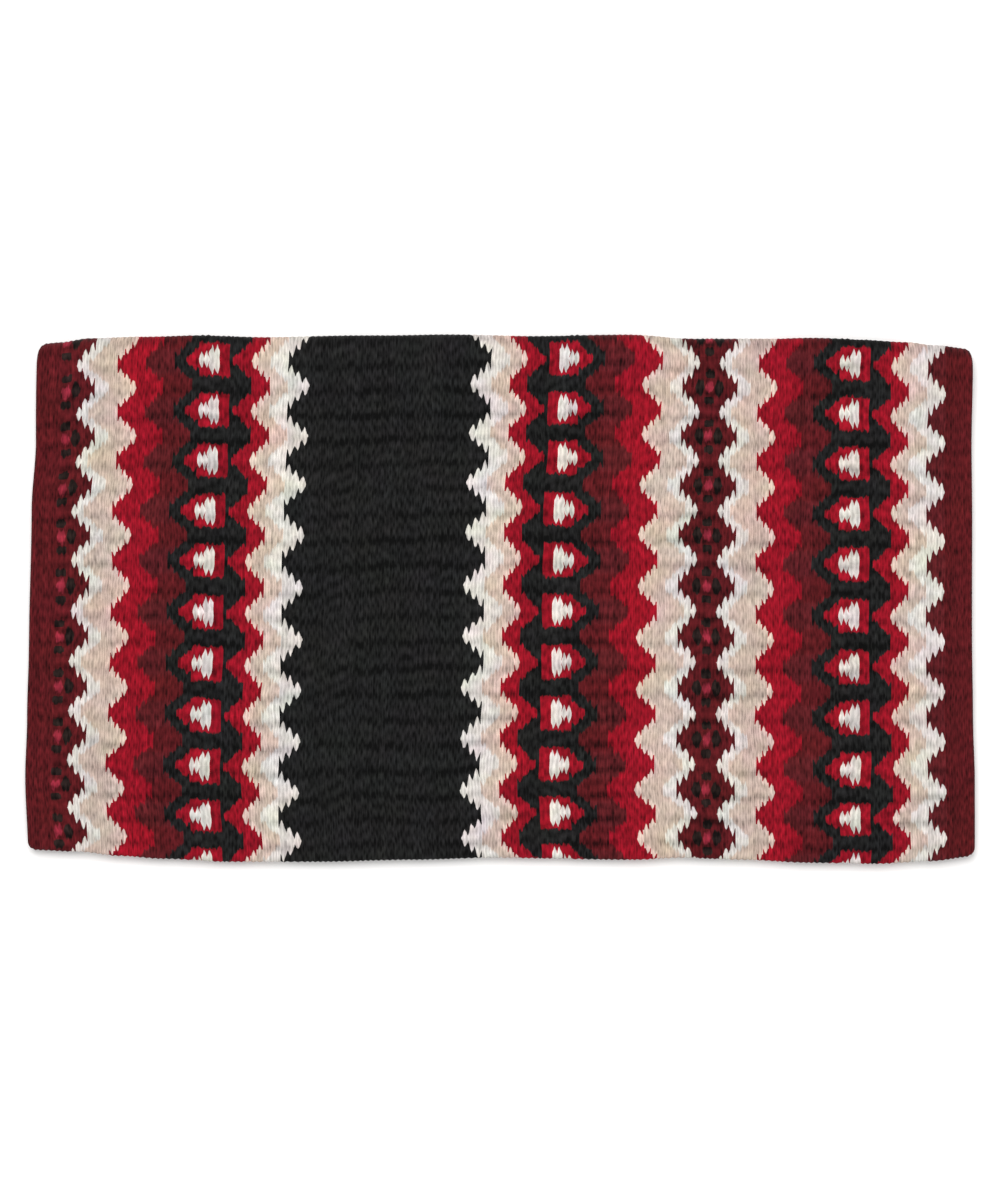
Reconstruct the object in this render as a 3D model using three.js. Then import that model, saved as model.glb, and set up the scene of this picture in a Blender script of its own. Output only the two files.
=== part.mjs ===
// Saddle blanket: one thick wool cloth, folded once across its middle and lying flat.
// Millimetres, +Z up. X runs along the fold, +Y points to the fold, and the origin is
// on the surface below the middle of the blanket. The two free edges lie together at -Y.

import * as THREE from 'three';

// The cloth
const foldedWidth = 864;            // along the fold, from one turned end to the other
const foldedDepth = 483;            // from the fold to the free edges
const clothThickness = 7.5;         // weft wrapped over a thick warp, both faces
const cornerRadius = 8;             // the corners are rounded in plan

// The fold
const layerGap = 2;                 // air between the two layers
const foldGap = 8;                  // the stiff cloth stays open in a soft loop at the fold
const swellLength = 75;             // the upper layer comes down from the loop over this length
const lowerSetBack = 4;             // the lower free edge lies this far inside the upper one

// Cross ribs that the beaten weft raises on the upper face
const ribPitch = 23.2;
const ribHeight = 0.6;
const ribRise = [0, 1, 1];          // groove, then a flat crest, at thirds of the pitch

// How the cloth lies on itself: long low waves of the upper layer
const waveHeight = 0.8;
const waveLengthX = 310;
const waveLengthY = 260;

// Stations of the two grids
const bodyColumns = 18;             // along X, between the rounded corners
const lowerRows = 9;                // along the lower layer
const bendRows = 8;                 // round the fold
const rimShares = [0, 0.1, 0.36, 1];        // of a rounded rim's half thickness
const cornerShares = [0, 0.1, 0.35, 0.65];  // of the corner radius

// The fold and the free edge, as they run: x along the fold, y across it, both from the middle
const foldLine = [
  { x: -432, y: 233.0 }, { x: -412, y: 234.6 }, { x: -385, y: 238.3 }, { x: -340, y: 239.7 },
  { x: -285, y: 241.0 }, { x: -200, y: 239.3 }, { x: -120, y: 241.2 }, { x: 110, y: 241.0 },
  { x: 160, y: 238.5 }, { x: 260, y: 238.2 }, { x: 330, y: 237.0 }, { x: 370, y: 235.0 },
  { x: 395, y: 232.3 }, { x: 432, y: 229.0 },
];
const freeEdge = [
  { x: -432, y: -231.0 }, { x: -385, y: -232.8 }, { x: -350, y: -236.5 }, { x: -310, y: -239.2 },
  { x: -250, y: -242.0 }, { x: -170, y: -242.0 }, { x: -80, y: -240.1 }, { x: -10, y: -238.3 },
  { x: 120, y: -240.1 }, { x: 160, y: -238.3 }, { x: 220, y: -240.1 }, { x: 280, y: -242.9 },
  { x: 340, y: -243.8 }, { x: 390, y: -241.5 }, { x: 432, y: -237.0 },
];

// How far each turned end stands out of the plain rectangle, by its place across the blanket
const endLines = [
  { y: 241, left: -7.5, right: 0.0 }, { y: 145, left: -5.5, right: -0.5 },
  { y: 80, left: -1.7, right: 0.0 }, { y: -40, left: 0.5, right: -0.3 },
  { y: -110, left: 2.2, right: 0.5 }, { y: -165, left: 3.8, right: 2.0 },
  { y: -241, left: 1.0, right: 2.0 },
];

const halfWidth = foldedWidth / 2;
const halfCloth = clothThickness / 2;
const bendRadius = (clothThickness + foldGap) / 2;
const lowerMiddle = halfCloth;
const upperMiddle = 1.5 * clothThickness + layerGap;
const loopTop = halfCloth + 2 * bendRadius;

// Smooth reading of a short table: cosine ease between the two rows that hold the place
function readTable(table, key, place, value) {
  const ordered = [...table].sort((a, b) => a[key] - b[key]);
  const first = ordered[0];
  const last = ordered[ordered.length - 1];
  const held = THREE.MathUtils.clamp(place, first[key], last[key]);
  const next = Math.max(1, ordered.findIndex((row) => row[key] >= held));
  const before = ordered[next - 1];
  const after = ordered[next];
  const share = (held - before[key]) / (after[key] - before[key]);
  return THREE.MathUtils.lerp(before[value], after[value], THREE.MathUtils.smoothstep(share, 0, 1));
}

// Pull-in of an edge at a corner: a quarter circle, zero once the corner is passed
function cornerDrop(fromEnd) {
  const inside = Math.max(0, cornerRadius - fromEnd);
  return cornerRadius - Math.sqrt(cornerRadius ** 2 - inside ** 2);
}

// Half the cloth's thickness near a rim: a half round that is full once the rim is passed
function halfThickness(fromRim) {
  const inside = Math.max(0, halfCloth - fromRim);
  return Math.sqrt(Math.max(0, halfCloth ** 2 - inside ** 2));
}

// Columns along X: distances from the left end, closer together at both rounded ends
function columnPlaces() {
  const near = [
    ...rimShares.map((share) => share * halfCloth),
    ...cornerShares.map((share) => share * cornerRadius).filter((place) => place > halfCloth),
    cornerRadius,
  ];
  const step = (foldedWidth - 2 * cornerRadius) / bodyColumns;
  const body = Array.from({ length: bodyColumns - 1 }, (_, i) => cornerRadius + (i + 1) * step);
  const far = near.map((place) => foldedWidth - place).reverse();
  return [...near, ...body, ...far];
}

// Rows along the section, from the lower rim round the fold to the upper rim.
// Each row says which stretch it is on and its share of that stretch, or its turn.
function sectionRows() {
  const rims = rimShares.map((share) => share * halfCloth);
  const lower = Array.from({ length: lowerRows }, (_, i) => (
    { stretch: 'lower', share: (i + 1) / (lowerRows + 1) }
  ));
  const bend = Array.from({ length: bendRows + 1 }, (_, i) => (
    { stretch: 'bend', turn: (i / bendRows) * Math.PI }
  ));
  const ribs = Math.floor((foldedDepth - bendRadius - halfCloth) / ribPitch);
  const upper = [];
  for (let rib = 0; rib < ribs; rib += 1) {
    ribRise.forEach((rise, third) => {
      upper.push({ stretch: 'upper', share: (rib + (third + 0.5) / ribRise.length) / ribs, rise });
    });
  }
  return [
    ...rims.map((fromRim) => ({ stretch: 'lowerRim', fromRim })),
    ...lower,
    ...bend,
    ...upper,
    ...rims.map((fromRim) => ({ stretch: 'upperRim', fromRim })).reverse(),
  ];
}

// One point of the cloth's middle surface, with the outward direction and half thickness there
function clothPoint(fromLeft, row) {
  const x = fromLeft - halfWidth;
  const fromEnd = Math.min(fromLeft, foldedWidth - fromLeft);
  const drop = cornerDrop(fromEnd);
  const foldY = readTable(foldLine, 'x', x, 'y') - drop;
  const upperRimY = readTable(freeEdge, 'x', x, 'y') + drop;
  const lowerRimY = upperRimY + lowerSetBack;
  const bendY = foldY - halfCloth - bendRadius;
  const point = { y: 0, z: 0, outY: 0, outZ: 1, fromRim: halfCloth, rise: row.rise ?? 0 };

  if (row.stretch === 'bend') {
    point.outY = Math.sin(row.turn);
    point.outZ = -Math.cos(row.turn);
    point.y = bendY + bendRadius * point.outY;
    point.z = lowerMiddle + bendRadius + bendRadius * point.outZ;
  } else if (row.stretch.startsWith('lower')) {
    point.outZ = -1;
    point.z = lowerMiddle;
    point.fromRim = row.fromRim ?? halfCloth;
    const rimEnd = lowerRimY + halfCloth;
    point.y = row.stretch === 'lowerRim'
      ? lowerRimY + row.fromRim
      : THREE.MathUtils.lerp(rimEnd, bendY, row.share);
  } else {
    point.fromRim = row.fromRim ?? halfCloth;
    const rimEnd = upperRimY + halfCloth;
    point.y = row.stretch === 'upperRim'
      ? upperRimY + row.fromRim
      : THREE.MathUtils.lerp(bendY, rimEnd, row.share);
    const easing = 1 - THREE.MathUtils.smoothstep(bendY - point.y, 0, swellLength);
    const waveX = Math.sin((2 * Math.PI * x) / waveLengthX);
    const waveY = Math.sin((2 * Math.PI * point.y) / waveLengthY);
    const lift = waveHeight * (waveX * waveY) ** 2;
    point.z = THREE.MathUtils.lerp(upperMiddle, loopTop, easing) + (1 - easing) * lift;
  }

  const leftOut = readTable(endLines, 'y', point.y, 'left');
  const rightOut = readTable(endLines, 'y', point.y, 'right');
  point.x = x + THREE.MathUtils.lerp(-leftOut, rightOut, fromLeft / foldedWidth);
  point.half = Math.min(halfThickness(point.fromRim), halfThickness(fromEnd));
  return point;
}

// The closed cloth: an outer and an inner grid that share the points of their rims
function clothGeometry() {
  const columns = columnPlaces();
  const rows = sectionRows();
  const positions = [];
  const triangles = [];
  const outer = [];
  const inner = [];

  rows.forEach((row, r) => {
    outer.push([]);
    inner.push([]);
    columns.forEach((place, c) => {
      const point = clothPoint(place, row);
      const onRim = r === 0 || r === rows.length - 1 || c === 0 || c === columns.length - 1;
      const out = onRim ? 0 : point.half + point.rise * ribHeight * (point.half / halfCloth);
      outer[r].push(positions.length / 3);
      positions.push(point.x, point.y + out * point.outY, point.z + out * point.outZ);
      if (onRim) {
        inner[r].push(outer[r][c]);
        return;
      }
      inner[r].push(positions.length / 3);
      positions.push(point.x, point.y - point.half * point.outY, point.z - point.half * point.outZ);
    });
  });

  for (let r = 0; r < rows.length - 1; r += 1) {
    for (let c = 0; c < columns.length - 1; c += 1) {
      addQuad(triangles, outer[r][c], outer[r + 1][c], outer[r + 1][c + 1], outer[r][c + 1]);
      addQuad(triangles, inner[r][c], inner[r][c + 1], inner[r + 1][c + 1], inner[r + 1][c]);
    }
  }

  const geometry = new THREE.BufferGeometry();
  geometry.setAttribute('position', new THREE.Float32BufferAttribute(positions, 3));
  geometry.setIndex(triangles);
  geometry.computeBoundingBox();
  const middle = geometry.boundingBox.getCenter(new THREE.Vector3());
  geometry.translate(-middle.x, -middle.y, 0);
  geometry.computeVertexNormals();
  return geometry;
}

function addQuad(triangles, a, b, c, d) {
  triangles.push(a, b, c, a, c, d);
}

const wool = new THREE.MeshStandardMaterial({ color: 0x7c1f2a, roughness: 0.95, metalness: 0 });
const cloth = new THREE.Mesh(clothGeometry(), wool);
cloth.name = 'folded_cloth';

const saddleBlanket = new THREE.Group();
saddleBlanket.name = 'saddle_blanket';
saddleBlanket.add(cloth);

export default saddleBlanket;
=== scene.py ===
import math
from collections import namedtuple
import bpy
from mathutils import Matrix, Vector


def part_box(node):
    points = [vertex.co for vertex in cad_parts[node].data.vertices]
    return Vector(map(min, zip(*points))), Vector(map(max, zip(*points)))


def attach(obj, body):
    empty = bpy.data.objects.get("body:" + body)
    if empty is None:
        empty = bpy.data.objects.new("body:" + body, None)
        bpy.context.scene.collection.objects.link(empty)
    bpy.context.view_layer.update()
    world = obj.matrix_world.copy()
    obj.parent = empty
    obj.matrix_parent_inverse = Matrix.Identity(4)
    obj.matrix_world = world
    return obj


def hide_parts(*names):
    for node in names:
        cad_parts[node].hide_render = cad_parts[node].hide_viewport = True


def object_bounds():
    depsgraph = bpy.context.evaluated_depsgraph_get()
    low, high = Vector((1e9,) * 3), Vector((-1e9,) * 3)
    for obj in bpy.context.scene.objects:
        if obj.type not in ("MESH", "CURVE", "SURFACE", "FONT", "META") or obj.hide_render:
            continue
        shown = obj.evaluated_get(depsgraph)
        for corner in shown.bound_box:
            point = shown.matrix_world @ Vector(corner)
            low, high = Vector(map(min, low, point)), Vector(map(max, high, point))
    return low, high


bl_info = {
    "name": "Folded Saddle Blanket",
    "version": (1, 0, 0),
    "blender": (4, 5, 0),
    "location": "View3D > Sidebar > Blanket",
    "description": "Weaves a thick wool saddle blanket, folded once, and sets up a plain studio",
    "category": "Add Mesh",
}

import bpy
import numpy as np
from mathutils import Vector

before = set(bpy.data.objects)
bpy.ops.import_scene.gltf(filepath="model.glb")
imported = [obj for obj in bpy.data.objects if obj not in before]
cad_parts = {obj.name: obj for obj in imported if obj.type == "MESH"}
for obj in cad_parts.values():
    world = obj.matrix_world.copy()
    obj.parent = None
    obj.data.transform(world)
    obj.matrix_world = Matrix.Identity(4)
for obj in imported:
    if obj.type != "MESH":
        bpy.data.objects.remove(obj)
CAD_BOX = [list(corner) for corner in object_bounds()]
CLOTH_NODE = "folded_cloth"
MM = 0.001

# Yarn numbers, from the darkest to the lightest
BLACK, UMBER, BROWN, BURGUNDY, ROSE, RED, TAN, CREAM, WHITE = range(9)

# One pattern repeat along the weft is eight warp cells. An arrow row is the middle of an
# arrowhead, and a bar row lies halfway between two arrow rows.
CELLS_PER_REPEAT = 8
FIRST_ARROW_CELL = 4

# Runs of weft strands from the middle of a lozenge outwards to the middle of the black band:
# how many strands, how wide each is in millimetres, how many plies lie side by side in it, and
# whether its floats are centred on the arrow rows (0) or start there (1). The two plies of a
# strand take turns, like bricks.
Run = namedtuple("Run", "name count width plies phase")
HALF_UNIT = (
    Run("lozenge middle", 2, 4.5, 1, 0),
    Run("lozenge and white steps", 5, 5.8, 2, 0),
    Run("plain tan", 2, 3.9, 2, 1),
    Run("red steps", 3, 5.8, 2, 0),
    Run("plain red", 2, 4.1, 2, 1),
    Run("burgundy steps", 3, 5.6, 2, 0),
    Run("plain burgundy", 2, 4.9, 2, 1),
    Run("arch steps", 3, 5.65, 2, 0),
    Run("arrowhead shoulder", 1, 6.9, 2, 0),
    Run("arrowhead front", 2, 4.65, 1, 0),
    Run("arrowhead back", 4, 4.65, 1, 1),
    Run("black bar", 1, 3.2, 1, 1),
    Run("red, tan and white steps", 9, 5.55, 2, 0),
    Run("band steps", 3, 6.4, 2, 0),
    Run("black band", 15, 4.88, 2, 0),
)
BORDER_STEPS = Run("border steps", 3, 5.6, 2, 0)
LEFT_BORDER = Run("left border", 5, 4.55, 2, 0)
RIGHT_BORDER = Run("right border", 6, 4.4, 2, 0)

# Colour bands: the strand, counted from the lozenge's middle, where each starts at an arrow row.
# Away from that row every start moves out by one strand a cell, which draws the zigzag.
Band = namedtuple("Band", "first yarn")
BANDS = (
    Band(0, BURGUNDY), Band(2, WHITE), Band(4, TAN), Band(8, CREAM), Band(9, RED), Band(14, BURGUNDY),
    Band(19, BLACK), Band(30, RED), Band(33, CREAM), Band(34, TAN), Band(36, WHITE), Band(39, BLACK),
)
ARROW_TIP = 21          # strand of the arrowhead's tip
ARROW_END = 28          # its last strand
ARROW_REACH = 3         # cells each side of the arrow row where it is fullest
FLANK_LAST = 2          # last strand of the black beside a lozenge's dot
PATCH_FIRST = 14        # first strand of the brown patch on an arrow row
BORDER_PICK = -1        # stands for a strand of the plain border
BLACK_SPREAD = 0.35     # cells by which black yarn spreads over the red beside it
WHITE_SPREAD = 0.12     # the same for white yarn over the burgundy
TIP_PICK = 2            # strand of the white tips beside a lozenge
TIP_DRAW = 0.3          # cells by which such a tip draws back at each end
FINGER_TIP = 0.35       # cells by which the lighter yarn passes a change at the ridge of a strand
FINGER_ROOT = 0.6       # cells by which it stops short of it in the valleys
FINGER_SLANT = 0.8      # how far a finger leans over to the next step
SINGLE_GAP = 0.55       # how far the gap between two fingers opens where a strand is one ply
LIKE_FINGER = 0.25      # length of the fingers where both yarns are dark, or both pale
LIKE_GAP = 0.25         # how far the gap between two such fingers opens
LIKE_SHARP = 0.45       # how sharp such a change is
BLACK_SHARP = 0.7       # the same where the darker yarn is black

# A lozenge's dot with the black beside, above and below it: how many cells from the bar row each change
# of yarn lies, by strand and by the change's number, at the strand's inner edge, ridge and outer edge
LOZENGE_REACH = {
    (0, 1): (0.7, 0.95, -0.4),
    (0, 2): (1.4, 1.4, 1.7),
    (0, 3): (2.8, 2.85, 2.5),
    (1, 1): (0.0, 1.25, 1.4),
    (2, 1): (1.4, 0.9, -0.5),
}

# How the folded cloth lies, in millimetres from its middle: fold, free edge and turned ends
FOLD_LINE = (
    (-432, 233.0), (-412, 234.6), (-385, 238.3), (-340, 239.7), (-285, 241.0), (-200, 239.3),
    (-120, 241.2), (110, 241.0), (160, 238.5), (260, 238.2), (330, 237.0), (370, 235.0),
    (395, 232.3), (432, 229.0),
)
FREE_EDGE = (
    (-432, -231.0), (-385, -232.8), (-350, -236.5), (-310, -239.2), (-250, -242.0), (-170, -242.0),
    (-80, -240.1), (-10, -238.3), (120, -240.1), (160, -238.3), (220, -240.1), (280, -242.9),
    (340, -243.8), (390, -241.5), (432, -237.0),
)
LEFT_END = (
    (-241, 1.0), (-165, 3.8), (-110, 2.2), (-40, 0.5), (80, -1.7), (145, -5.5), (241, -7.5),
)
RIGHT_END = (
    (-241, 2.0), (-165, 2.0), (-110, 0.5), (-40, -0.3), (80, 0.0), (145, -0.5), (241, 0.0),
)
# How the weave lies within that outline: how far the weft rows sink towards the free edge along the
# fold, how far they drift with the cells counted from it, how far the strands lie to the right, and
# how much of the left end's lean they share
ROW_BOW = (
    (-432, 3.6), (-348, 3.4), (-306, 2.6), (-270, 1.6), (-197, 0.6), (60, 0.0), (140, 0.9), (325, 2.2),
    (395, 1.2), (432, 1.0),
)
CELL_DRIFT = (
    (0, 0.8), (8, 0.2), (20, -1.2), (33, -1.0), (46, 0.8), (58, 1.8), (71, 3.0), (77, 1.4), (83.4, 0.0),
)
SIDE_DRIFT = (
    (-432, 0.0), (-395, 1.1), (-348, 1.4), (-300, 0.7), (-200, 1.0), (-20, 1.6), (60, 1.7), (110, 1.9),
    (160, 2.6), (200, 2.2), (239, 1.2), (280, 0.8), (325, 1.7), (360, 1.2), (400, 0.5), (432, 0.0),
)
LEAN_SHARE = (
    (-432, 1.0), (-390, 0.9), (-348, 1.08), (-306, 1.0), (-270, 0.86), (-200, 0.93), (-20, 1.0),
    (20, 0.9), (97, 0.81), (138, 0.72), (190, 0.41), (239, 0.38), (280, 0.2), (325, 0.13),
    (362, 0.05), (394, 0.18), (432, 0.0),
)
WAVE_ALONG = 310 * MM       # length of the upper layer's long waves along the fold
WAVE_ACROSS = 260 * MM      # and across it

# Relief of the weave
FLOAT_SHIFT = 0.12          # cells by which the middle of a float may lie off its place
FLOAT_PLUMP = (0.82, 1.12)  # spread of the heights of floats
FLOAT_LOW = 0.4             # height of a float of one ply at its ends, as a share of its middle
PLY_HEIGHT = 0.45           # height of a strand of two plies, as a share of a full float
STRAND_WANDER = 0.35 * MM   # how far the strands wander sideways
ROW_WANDER = 0.5 * MM       # how far the rows wander along the weft
LOOP_HEIGHT = 0.9 * MM      # how far the weft loops stand out of the free edges

# Cross grooves: a main one every pitch and a fainter one halfway to the next
GROOVE_PITCH = 4            # cells
GROOVE_FIRST = 1            # cell of the first main groove over the fold
GROOVE_WIDTH = 0.65         # cells from a main groove's middle to where it has nearly ended
FAINT_WIDTH = 0.45          # the same for a faint one
FAINT_SHARE = 0.25          # depth of a faint groove, as a share of a main one
GROOVE_WANDER = 0.2         # cells by which the grooves wander
GROOVE_CHANGE = 0.35        # spread of their depth along the blanket
GROOVE_LIMITS = (0.2, 1.8)  # least and most that this spread makes of it
GROOVE_MEAN = 0.85          # their mean depth, as a share of the groove depth
END_DEPTH = 0.45            # what is left of that at the turned ends
END_LENGTH = 60 * MM        # length over which the grooves come to full depth


def from_srgb(red, green, blue):
    """Linear colour of a screen colour given as whole numbers up to 255."""
    screen = np.array([red, green, blue]) / 255.0
    linear = np.where(screen <= 0.04045, screen / 12.92, ((screen + 0.055) / 1.055) ** 2.4)
    return tuple(float(value) for value in linear)


def metres(name, description, default):
    """A property that holds a length in metres."""
    return bpy.props.FloatProperty(name=name, description=description, default=default, unit="LENGTH")


def fraction(name, description, default):
    """A property that holds a share from 0 to 1."""
    return bpy.props.FloatProperty(
        name=name, description=description, default=default, subtype="FACTOR", min=0.0, max=1.0)


def screen_colour(name, description, *screen):
    """A property that holds a colour, given as a screen colour."""
    return bpy.props.FloatVectorProperty(
        name=name, description=description, default=from_srgb(*screen), subtype="COLOR", size=3)


class BlanketSizes(bpy.types.PropertyGroup):
    """Sizes of the folded cloth and its weave"""

    width: metres("Width", "Length along the fold", 864 * MM)
    thickness: metres("Thickness", "Thickness of one layer", 7.5 * MM)
    layer_gap: metres("Layer gap", "Air between the layers", 2.0 * MM)
    fold_gap: metres("Fold gap", "Opening of the loop at the fold", 8.0 * MM)
    swell_length: metres(
        "Swell length", "Length over which the upper layer comes down from the loop", 75.0 * MM)
    corner_radius: metres("Corner radius", "Rounding of the corners in plan", 8.0 * MM)
    set_back: metres("Set back", "How far the lower free edge lies inside the upper one", 4.0 * MM)
    cells: bpy.props.FloatProperty(
        name="Cells", description="Warp cells from the fold to the upper free edge", default=83.4)
    strand_relief: metres("Strand relief", "Height of a weft float above the valley beside it", 1.0 * MM)
    groove_depth: metres("Groove depth", "Depth of the cross grooves, one every four cells", 0.8 * MM)
    wave_height: metres("Wave height", "Height of the long waves of the upper layer", 0.8 * MM)
    waist: fraction("Waist", "How far a float narrows at its ends, as a share of its width", 0.25)


class YarnColours(bpy.types.PropertyGroup):
    """Colours of the wool yarns"""

    black: screen_colour("Black", "Black yarn", 26, 26, 26)
    umber: screen_colour("Umber", "Brown yarn that is nearly black", 31, 22, 20)
    brown: screen_colour("Brown", "Dark brown yarn", 82, 24, 28)
    burgundy: screen_colour("Burgundy", "Burgundy yarn", 82, 20, 24)
    rose: screen_colour("Rose", "Rose yarn", 132, 36, 50)
    red: screen_colour("Red", "Red yarn", 136, 14, 30)
    tan: screen_colour("Tan", "Tan yarn", 189, 169, 156)
    cream: screen_colour("Cream", "Cream yarn", 208, 184, 172)
    white: screen_colour("White", "White yarn", 204, 198, 192)
    float_slip: bpy.props.FloatProperty(
        name="Float slip", description="Spread, in cells, of where the shade of the floats starts",
        default=0.3)
    # Painted shade: the share of brightness left to the yarn on the hidden inner side and on the faces
    # at the turned ends
    inside: fraction("Inside", "Brightness of the yarn on the hidden inner side", 0.8)
    float_change: fraction("Float change", "Spread of brightness from one float to the next", 0.1)
    strand_change: fraction("Strand change", "Spread of brightness from one strand to the next", 0.08)


class StudioSizes(bpy.types.PropertyGroup):
    """Floor, lights and camera"""

    floor_size: metres("Floor size", "Side of the floor", 12.0)
    floor_colour: screen_colour("Floor colour", "Pale floor", 247, 246, 245)
    camera_distance: metres("Camera distance", "From the blanket's upper face", 2.5)
    camera_elevation: bpy.props.FloatProperty(
        name="Camera elevation", description="Angle above the surface", default=math.radians(89.5),
        subtype="ANGLE")
    frame_height: metres("Frame height", "Height of the view on the upper face", 1.098)
    key_power: bpy.props.FloatProperty(
        name="Key power", description="Large soft light above the fold", default=70.0, unit="POWER")
    fill_power: bpy.props.FloatProperty(
        name="Fill power", description="Soft light from the near side", default=25.0, unit="POWER")
    room_light: bpy.props.FloatProperty(
        name="Room light", description="Even light from all round", default=0.45)


Strands = namedtuple("Strands", "pick width plies phase end_yarn rightward")


def run_values(runs):
    """Strand widths in metres, plies and float phases of a row of runs, joined end to end."""
    counts = [run.count for run in runs]
    width = np.repeat([run.width * MM for run in runs], counts)
    plies = np.repeat([run.plies for run in runs], counts)
    phase = np.repeat([run.phase for run in runs], counts)
    return np.stack([width, plies, phase])


def strand_layout(total_width):
    """Every weft strand from the left end to the right.

    A half unit is laid three times: outwards from the left lozenge to the black band, mirrored back
    to the right lozenge, and outwards again to the right border, which takes the band's place.
    """
    half = run_values(HALF_UNIT)
    half_pick = np.arange(half.shape[1])
    stop = BANDS[-1].first
    steps = run_values([BORDER_STEPS])
    left = run_values([LEFT_BORDER])
    right = run_values([RIGHT_BORDER])
    parts = [
        (np.full(left.shape[1], BORDER_PICK), left, BURGUNDY),
        (half_pick[:1], half[:, :1], BURGUNDY),
        (half_pick, half, BLACK),
        (half_pick[::-1], half[:, ::-1], BLACK),
        (half_pick[:stop], half[:, :stop], BURGUNDY),
        (stop + np.arange(steps.shape[1]), steps, BURGUNDY),
        (np.full(right.shape[1], BORDER_PICK), right, BURGUNDY),
    ]
    pick = np.concatenate([part[0] for part in parts])
    width, plies, phase = np.concatenate([part[1] for part in parts], axis=1)
    end_yarn = np.concatenate([np.full(len(part[0]), part[2]) for part in parts])
    width = width * total_width / width.sum()
    rightward = np.diff(pick, append=pick[-1]) > 0
    return Strands(pick, width, plies.astype(int), phase.astype(int), end_yarn, rightward)


def chart_yarn(pick, cell, end_yarn):
    """Yarn number of each strand and warp cell, by the woven chart.

    A cell's step is its whole number of cells from the nearest arrow row, 0 to 3. A strand takes the
    last band that starts at or before its number less the step. A brown patch on the arrow row, the
    dot with black beside, above and below it, and the arrowhead with its two pairs of white strands
    are then laid over the bands.
    """
    turn = np.mod(cell - FIRST_ARROW_CELL, CELLS_PER_REPEAT)
    step = np.minimum(turn, CELLS_PER_REPEAT - 1 - turn)
    from_arrow = step + 0.5
    from_bar = CELLS_PER_REPEAT / 2 - from_arrow
    firsts = np.array([band.first for band in BANDS])
    yarns = np.array([band.yarn for band in BANDS])
    band = np.clip(np.searchsorted(firsts, pick - step, side="right") - 1, 0, None)
    yarn = np.where(band == len(BANDS) - 1, end_yarn, yarns[band])

    patch_reach = np.where(pick == PATCH_FIRST, 1, 2)
    patch = (yarn == BURGUNDY) & (pick >= PATCH_FIRST) & (from_arrow < patch_reach)
    yarn = np.where(patch, BROWN, yarn)

    beside = (pick > 0) & (pick <= FLANK_LAST) & (from_bar < 1)
    above = (pick == 0) & (from_bar > 2) & (from_bar < 3)
    yarn = np.where(beside | above, UMBER, yarn)
    yarn = np.where((pick == 0) & (from_bar < 1), ROSE, yarn)

    reach = np.minimum(pick - ARROW_TIP + 1, ARROW_REACH)
    arrow = (pick >= ARROW_TIP) & (pick <= ARROW_END) & (from_arrow < reach)
    yarn = np.where(arrow, RED, yarn)
    white_pair = (pick - ARROW_TIP) // 2
    white = arrow & (white_pair >= 1) & (white_pair <= 2) & (from_arrow < white_pair)
    yarn = np.where(white, WHITE, yarn)
    return np.where(pick == BORDER_PICK, BURGUNDY, yarn)


def ease(share):
    """Smooth rise from 0 to 1 with the share: three times its square less twice its cube."""
    held = np.clip(share, 0, 1)
    return held * held * (3 - 2 * held)


def read_table(table, place, unit=MM):
    """Value of a short table at a place, eased between its rows, which are counted in a unit."""
    keys = np.array([row[0] for row in table]) * unit
    values = np.array([row[1] for row in table], float)
    held = np.clip(place, keys[0], keys[-1])
    after = np.clip(np.searchsorted(keys, held), 1, len(keys) - 1)
    share = ease((held - keys[after - 1]) / (keys[after] - keys[after - 1]))
    return values[after - 1] + (values[after] - values[after - 1]) * share


def soft_noise(u, v, seed, waves=9, low=2.0, high=9.0):
    """Smooth unevenness of about unit size: a sum of plane sine waves with seeded turns and lengths."""
    draw = np.random.default_rng(seed)
    total = np.zeros(np.broadcast(u, v).shape)
    for _ in range(waves):
        angle = draw.uniform(0, 2 * math.pi)
        rate = draw.uniform(low, high) * 2 * math.pi
        start = draw.uniform(0, 2 * math.pi)
        total += np.sin(rate * (u * math.cos(angle) + v * math.sin(angle)) + start)
    return total / math.sqrt(waves / 2)


def half_round(distance, radius):
    """Share of full thickness at a distance from a rim: a half circle, 1 once the radius is passed."""
    inside = np.clip(1 - distance / radius, 0, 1)
    return np.sqrt(1 - inside * inside)


Columns = namedtuple("Columns", "strand across")
RIM_ACROSS = (0.0, 0.07, 0.26, 0.6)      # columns of the two end strands, which round over the rim
RIM_SHARES = (0.0, 0.1, 0.36, 1.0)       # rows of a rounded free edge, as shares of half the thickness
LOWER_CLEAR = 0.3       # cells kept free between the rows of the lower rim and the next row
UPPER_CLEAR = 0.2       # the same at the upper rim
NEAR_FOLD = 3           # cells under the fold that still have half-cell rows


def strand_columns(count):
    """Grid columns across the weft: a valley and a ridge for each strand, more on the end strands."""
    strand = np.repeat(np.arange(count), 2)
    across = np.tile([0.0, 0.5], count)
    first = np.array(RIM_ACROSS)
    last = 1 - first[::-1]
    strand = np.concatenate([np.zeros(len(first), int), strand[2:-2], np.full(len(last) + 1, count - 1)])
    across = np.concatenate([first, across[2:-2], [0.0], last])
    return Columns(strand, across)


def cell_rows(upper_cells, lower_cells, upper_rim, lower_rim):
    """Grid rows along the weft in cells from the fold: negative under it, positive over it.

    Half cells on the upper layer and round the fold, whole cells on the lower layer, and the rows
    of the two rounded free edges.
    """
    shares = np.array(RIM_SHARES)
    lower_end = -lower_cells + shares * lower_rim
    upper_end = upper_cells - shares[::-1] * upper_rim
    lower = np.arange(math.ceil(lower_end[-1] + LOWER_CLEAR), -NEAR_FOLD)
    upper = np.arange(-NEAR_FOLD, upper_end[0] - UPPER_CLEAR, 0.5)
    return np.concatenate([lower_end, lower, upper, upper_end])


YarnEdges = namedtuple("YarnEdges", "light dark place side left right")
NO_EDGE = 9             # cells, for a strand that has one yarn all along


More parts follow.
